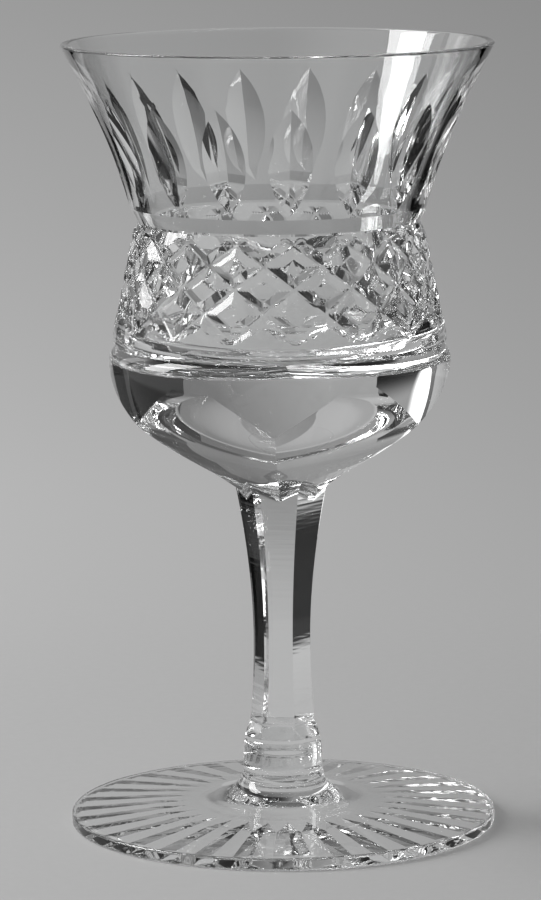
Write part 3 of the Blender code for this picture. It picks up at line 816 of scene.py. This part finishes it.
class GLASS_OT_foot(bpy.types.Operator):
    """Build the disc foot with its star"""

    bl_idname = "glass.foot"
    bl_label = "Foot"

    def execute(self, context):
        sizes = context.scene.foot_sizes
        stem = context.scene.stem_sizes
        bend = sizes.edge_bend
        under = np.concatenate(
            [
                np.linspace(HUB_RADIUS, sizes.ray_inner, 40)[:-1],
                np.linspace(sizes.ray_inner, sizes.ray_outer, 33),
                np.linspace(sizes.ray_outer, sizes.radius - bend, 5)[1:],
            ]
        )
        half = math.pi / sizes.rays
        opening = (under - sizes.ray_inner) / (sizes.ray_meet - sizes.ray_inner)
        open_share = np.clip(opening, 0.0, RAY_MOST)
        stop = np.clip((sizes.ray_outer - under) / sizes.ray_end, 0.0, 1.0)
        flank = sizes.ray_slope * stop * under
        inside = FOOT_COLUMNS // sizes.rays // 4
        even_edge = half / 2
        beyond = np.clip((sizes.ray_inner - under) / RAY_SETTLE, 0.0, 1.0)
        edge = np.maximum(open_share * half, np.maximum(RAY_LEAST * half, even_edge * beyond))
        local = np.tile(sector(edge, half, inside, inside), (1, sizes.rays))
        depth = flank[:, None] * np.clip(open_share[:, None] * half - np.abs(local), 0.0, None)
        even = sizes.ray_turn + np.repeat(np.arange(sizes.rays) * 2 * half, 4 * inside)
        last = even + local[-1:]
        turn = np.radians(np.linspace(-90.0, 90.0, 38))[1:, None]
        edge_r = sizes.radius - bend + bend * np.cos(turn)
        edge_z = np.where(turn < 0.0, bend, sizes.edge - bend) + bend * np.sin(turn)
        rim = (sizes.radius - bend, sizes.edge)
        shoulder = (sizes.shoulder_radius, sizes.shoulder)
        boss = (stem.merese_low_radius, stem.merese_joint)
        top = np.concatenate(
            [
                drawn((rim, shoulder), 12)[1:],
                drawn((shoulder, (boss[0] + BOSS_REACH, BOSS_LEVEL), boss), 30)[1:],
            ]
        )
        dish = np.array([*DISH, (sizes.rest_radius, 0.0), (sizes.radius, 0.0)])
        hollow = sizes.hollow * np.interp(under, dish[:, 0], dish[:, 1])
        rows = [
            placed(under[:, None] + 0.0 * local, hollow[:, None] + depth, even + local),
            placed(edge_r, edge_z, last),
            placed(top[:, :1], top[:, 1:], last),
        ]
        points, rings, low_end, top_end = stacked(rows, FOOT_COLUMNS, hollow[0], stem.merese_joint)
        faces = [ring_quads(0, rings - 1, FOOT_COLUMNS), low_end]
        glass = crystal(context, "foot_crystal", False)
        build_piece(context, "star_foot", points, faces, [top_end], glass, ("foot",))
        return {"FINISHED"}


# Stage

# Half widths of the soft edges of the sheet and of the pale surface in front
SHEET_SOFT, FRONT_SOFT = 0.004, 0.01
# Places along x or z, in metres, between which the painted glow of the floor changes its tone
RIGHT_SPAN, RIGHT_RISE = (0.6, 1.3), (0.27, 0.42)
LEFT_SPAN, LEFT_RISE = (-0.3, -0.8), (0.08, 0.60)
EDGE_SPAN = (-2.6, -3.1)
# Distances from the glass between which the matt paper gives way to the painted glow
PAPER_SPAN = (0.06, 0.30)
# Drop below the camera for each unit of distance, where the brightness of the sheet's painted glow is set
DIP_TOP, DIP_FAR, DIP_NEAR, DIP_LAST = -0.4, 0.061, 0.20, 0.30
LEAN_LEAST, LEAN_MOST = 0.6, 1.3
LEAST_AWAY = 0.1

# Floor: half its width, the end of its flat part, the radius of its sweep, and the top of its wall
FLOOR_HALF, FLOOR_FLAT, FLOOR_SWEEP, FLOOR_TOP = 5.0, 2.4, 0.8, 3.6
FLOOR_COLUMNS = 21
FLOOR_GAP = 0.00002

# Window: width and height, azimuth, elevation and distance from the point that it faces
WINDOW_SIZE = (0.95, 0.42)
WINDOW_TURN, WINDOW_RISE = math.radians(-97.0), math.radians(35.0)
WINDOW_AWAY = 1.2
WINDOW_AIM = (0.0, 0.0, 0.06)

SENSOR_WIDTH = 36.0
CLIP_START, CLIP_END = 0.01, 50.0


def floor_material(look):
    """Pale sheet that sweeps up behind the glass; the glass also shows the dark table beside it.

    Close to the glass the sheet is matt paper that takes the shadow, lifted by a share of painted glow.
    Further off, and wherever it is seen in or through the glass, it glows: painted light that stands in
    for the window's light on the sheet, even under the glass's own shadow, and fades towards the back,
    the top and the right, away from the window. Beside the sheet the glow is painted light and shade of
    the room: the dark table, lighter in front and on the window's side.
    seen in or through the glass, it glows, less towards the back, the top and the right.
    """
    material = bpy.data.materials.new("sheet_on_table")
    material.use_nodes = True
    tree = material.node_tree
    nodes, links = tree.nodes, tree.links
    nodes.clear()

    def join(value, socket):
        """Set a socket to a number, or link it."""
        if isinstance(value, (int, float)):
            socket.default_value = value
        else:
            links.new(value, socket)

    def calc(operation, first, second=0.0, clamp=False):
        """Result of a sum with one or two values."""
        node = nodes.new("ShaderNodeMath")
        node.operation = operation
        node.use_clamp = clamp
        join(first, node.inputs[0])
        join(second, node.inputs[1])
        return node.outputs[0]

    def scaled(value, gain, offset):
        """The value times the gain, plus the offset."""
        return calc("ADD", calc("MULTIPLY", value, gain), offset)

    ramp = partial(smooth_ramp, tree)
    place = nodes.new("ShaderNodeTexCoord")
    axes = nodes.new("ShaderNodeSeparateXYZ")
    links.new(place.outputs["Object"], axes.inputs[0])
    x, y, z = axes.outputs
    aside = calc("ABSOLUTE", calc("SUBTRACT", x, look.sheet_centre))
    behind = calc("MAXIMUM", calc("SUBTRACT", y, look.sheet_straight), 0.0)
    edge = scaled(behind, look.sheet_spread, look.sheet_half)
    beside = ramp(calc("SUBTRACT", aside, edge), -SHEET_SOFT, SHEET_SOFT)
    front = scaled(aside, look.sheet_turn, look.sheet_front)
    path = nodes.new("ShaderNodeLightPath")
    through = calc("ADD", path.outputs["Is Glossy Ray"], path.outputs["Is Transmission Ray"], True)
    beside = calc("MULTIPLY", beside, through)
    rear = ramp(calc("SUBTRACT", y, front), -FRONT_SOFT, FRONT_SOFT)
    flecks = nodes.new("ShaderNodeTexNoise")
    flecks.inputs["Scale"].default_value = 1.0 / look.fleck_size
    flecks.inputs["Detail"].default_value = 2.0
    links.new(place.outputs["Object"], flecks.inputs["Vector"])
    matt = nodes.new("ShaderNodeBsdfDiffuse")
    paper = two_tone(tree, flecks.outputs["Fac"], look.sheet, look.sheet_fleck)
    links.new(paper, matt.inputs["Color"])

    # Painted light: the glow dims with distance and height like the window's light on the sheet, and falls
    # off to the right, away from the window.
    away = calc("MAXIMUM", calc("ADD", y, look.camera_distance), LEAST_AWAY)
    dip = calc("DIVIDE", calc("SUBTRACT", look.camera_level, z), away)
    fall = nodes.new("ShaderNodeMapRange")
    links.new(dip, fall.inputs["Value"])
    fall.inputs["From Min"].default_value = DIP_TOP
    fall.inputs["From Max"].default_value = DIP_LAST
    shade = nodes.new("ShaderNodeValToRGB")
    links.new(fall.outputs[0], shade.inputs["Fac"])
    stops = ((DIP_TOP, look.painted_glow_top), (DIP_FAR, look.painted_glow_far), (DIP_NEAR, look.painted_glow_near))
    places = [(dip_stop - DIP_TOP) / (DIP_LAST - DIP_TOP) for dip_stop, light in stops]
    bar = shade.color_ramp
    bar.elements.new(places[1])
    for element, position, (dip_stop, light) in zip(bar.elements, places, stops):
        element.position = position
        element.color = (light, light, light, 1.0)
    side = calc("DIVIDE", x, away)
    lean = calc("SUBTRACT", 1.0, calc("MULTIPLY", side, look.painted_glow_lean))
    lean = calc("MINIMUM", calc("MAXIMUM", lean, LEAN_LEAST), LEAN_MOST)
    light = calc("MULTIPLY", shade.outputs["Color"], lean)
    # Painted light and shade beside the sheet, seen only in or through the glass: the dark table, a lit
    # patch low on the far right, the window's side high on the left, and a bright strip at the far left
    # edge beside the window.
    low = calc("SUBTRACT", 1.0, ramp(z, *RIGHT_RISE))
    high = ramp(z, *LEFT_RISE)
    far_right = calc("MULTIPLY", ramp(x, *RIGHT_SPAN), low)
    far_left = calc("MULTIPLY", ramp(x, *LEFT_SPAN), high)
    beyond = scaled(far_right, look.far_right, look.table)
    beyond = scaled(far_left, look.far_left, beyond)
    beyond = scaled(ramp(x, *EDGE_SPAN), look.painted_light_far_edge, beyond)
    painted_room_tone = scaled(rear, calc("SUBTRACT", beyond, look.near_side), look.near_side)
    light = calc("MULTIPLY", light, scaled(beside, calc("SUBTRACT", painted_room_tone, 1.0), 1.0))
    glow = nodes.new("ShaderNodeEmission")
    links.new(light, glow.inputs["Strength"])

    # Camera rays see matt paper with its real shadow near the glass, lifted by a share of painted glow, and
    # the painted glow further off; rays in or through the glass see only the painted glow, also where the
    # glass's shadow falls.
    reach = nodes.new("ShaderNodeVectorMath")
    reach.operation = "LENGTH"
    links.new(place.outputs["Object"], reach.inputs[0])
    far = ramp(reach.outputs["Value"], *PAPER_SPAN)
    lift = scaled(far, 1.0 - look.painted_shadow_lift, look.painted_shadow_lift)
    straight = calc("MULTIPLY", lift, path.outputs["Is Camera Ray"])
    share = calc("MAXIMUM", through, straight)
    mix = nodes.new("ShaderNodeMixShader")
    links.new(share, mix.inputs["Fac"])
    links.new(matt.outputs[0], mix.inputs[1])
    links.new(glow.outputs[0], mix.inputs[2])
    output = nodes.new("ShaderNodeOutputMaterial")
    links.new(mix.outputs[0], output.inputs["Surface"])
    return material


class GLASS_OT_stage(bpy.types.Operator):
    """Lay the sheet, set the window light and the camera"""

    bl_idname = "glass.stage"
    bl_label = "Stage"

    def execute(self, context):
        look = context.scene.stage_look
        self.lay_floor(context, look)
        self.hang_window(context, look)
        self.set_world(context, look)
        self.set_camera(context, look)
        context.scene.view_settings.view_transform = "Standard"
        context.scene.cycles.max_bounces = look.bounces
        context.scene.cycles.glossy_bounces = look.bounces
        context.scene.cycles.transmission_bounces = look.bounces
        return {"FINISHED"}

    def lay_floor(self, context, look):
        """A sheet: flat along y, then a quarter turn of an arc, then upright; even steps along x."""
        flat = np.linspace(-FLOOR_HALF, FLOOR_FLAT, 20)
        arc = np.linspace(0.0, math.pi / 2, 14)[1:]
        wall = np.linspace(FLOOR_SWEEP, FLOOR_TOP, 8)[1:]
        back = np.full(len(wall), FLOOR_FLAT + FLOOR_SWEEP)
        along_y = np.concatenate([flat, FLOOR_FLAT + FLOOR_SWEEP * np.sin(arc), back])[:, None]
        along_z = np.concatenate([0.0 * flat, FLOOR_SWEEP * (1.0 - np.cos(arc)), wall])[:, None]
        across = np.linspace(-FLOOR_HALF, FLOOR_HALF, FLOOR_COLUMNS)
        points = np.stack(np.broadcast_arrays(across, along_y, along_z), axis=-1)
        cell = np.arange(len(along_y) - 1)[:, None] * FLOOR_COLUMNS + np.arange(FLOOR_COLUMNS - 1)
        above = cell + FLOOR_COLUMNS
        quads = np.stack([cell, cell + 1, above + 1, above], axis=-1).reshape(-1, 4)
        mesh = bpy.data.meshes.new("floor")
        mesh.from_pydata(points.reshape(-1, 3).tolist(), [], quads.tolist())
        mesh.polygons.foreach_set("use_smooth", np.ones(len(quads), dtype=bool))
        mesh.materials.append(floor_material(look))
        floor = bpy.data.objects.new("floor", mesh)
        floor.location.z = -FLOOR_GAP
        context.scene.collection.objects.link(floor)

    def hang_window(self, context, look):
        """Soft light from a window on the left."""
        data = bpy.data.lights.new("window", "AREA")
        data.shape = "RECTANGLE"
        data.size, data.size_y = WINDOW_SIZE
        data.energy = look.window_power
        window = bpy.data.objects.new("window", data)
        aim = Vector(WINDOW_AIM)
        across, up = math.cos(WINDOW_RISE) * WINDOW_AWAY, math.sin(WINDOW_RISE) * WINDOW_AWAY
        offset = (across * math.sin(WINDOW_TURN), -across * math.cos(WINDOW_TURN), up)
        window.location = aim + Vector(offset)
        window.rotation_euler = (aim - window.location).to_track_quat("-Z", "Z").to_euler()
        window.visible_camera = False
        context.scene.collection.objects.link(window)

    def set_world(self, context, look):
        """Dim room, lighter on the side of the window. The camera itself sees one plain grey."""
        world = bpy.data.worlds.new("dim_room")
        world.use_nodes = True
        nodes, links = world.node_tree.nodes, world.node_tree.links
        place = nodes.new("ShaderNodeTexCoord")
        axes = nodes.new("ShaderNodeSeparateXYZ")
        links.new(place.outputs["Generated"], axes.inputs[0])
        low, high = look.room_turn - look.room_fade, look.room_turn + look.room_fade
        tones = (look.room_light, look.room_dark)
        fade = smooth_ramp(world.node_tree, axes.outputs["X"], low, high, *tones)
        path = nodes.new("ShaderNodeLightPath")
        tone = nodes.new("ShaderNodeMix")
        links.new(path.outputs["Is Camera Ray"], tone.inputs["Factor"])
        links.new(fade, tone.inputs["A"])
        tone.inputs["B"].default_value = look.room_plain
        links.new(tone.outputs["Result"], nodes["Background"].inputs["Strength"])
        nodes["Background"].inputs["Color"].default_value = (1.0, 1.0, 1.0, 1.0)
        context.scene.world = world

    def set_camera(self, context, look):
        """Camera in front of the glass, turned by yaw, pitch and roll in that order."""
        data = bpy.data.cameras.new("camera")
        data.sensor_width = SENSOR_WIDTH
        data.lens = look.camera_focal * data.sensor_width
        data.clip_start, data.clip_end = CLIP_START, CLIP_END
        camera = bpy.data.objects.new("camera", data)
        place = Matrix.Translation((0.0, -look.camera_distance, look.camera_level))
        turn = Matrix.Rotation(look.camera_yaw, 4, "Z")
        turn = turn @ Matrix.Rotation(math.pi / 2 - look.camera_pitch, 4, "X")
        turn = turn @ Matrix.Rotation(look.camera_roll, 4, "Z")
        camera.matrix_world = place @ turn
        context.scene.collection.objects.link(camera)
        context.scene.camera = camera


class GLASS_PT_panel(bpy.types.Panel):
    """Lists the pieces of the glass and the stage."""

    bl_idname = "GLASS_PT_panel"
    bl_label = "Liqueur Glass"
    bl_space_type = "VIEW_3D"
    bl_region_type = "UI"
    bl_category = "Glass"

    def draw(self, context):
        for operator in OPERATORS:
            self.layout.operator(operator.bl_idname)


OPERATORS = (GLASS_OT_stage, GLASS_OT_foot, GLASS_OT_merese, GLASS_OT_stem, GLASS_OT_bowl)
GROUPS = {
    "bowl_sizes": BowlSizes,
    "cut_sizes": CutSizes,
    "stem_sizes": StemSizes,
    "foot_sizes": FootSizes,
    "crystal_finish": CrystalFinish,
    "stage_look": StageLook,
}


def register():
    """Register the settings, the operators and the panel."""
    for name, group in GROUPS.items():
        bpy.utils.register_class(group)
        setattr(bpy.types.Scene, name, PointerProperty(type=group))
    for operator in OPERATORS:
        bpy.utils.register_class(operator)
    bpy.utils.register_class(GLASS_PT_panel)


def unregister():
    """Take back what register added."""
    bpy.utils.unregister_class(GLASS_PT_panel)
    for operator in reversed(OPERATORS):
        bpy.utils.unregister_class(operator)
    for name, group in reversed(GROUPS.items()):
        delattr(bpy.types.Scene, name)
        bpy.utils.unregister_class(group)


def main():
    """Build the stage and the glass."""
    register()
    bpy.ops.glass.stage()
    bpy.ops.glass.foot()
    bpy.ops.glass.merese()
    bpy.ops.glass.stem()
    bpy.ops.glass.bowl()


if __name__ == "__main__":
    main()
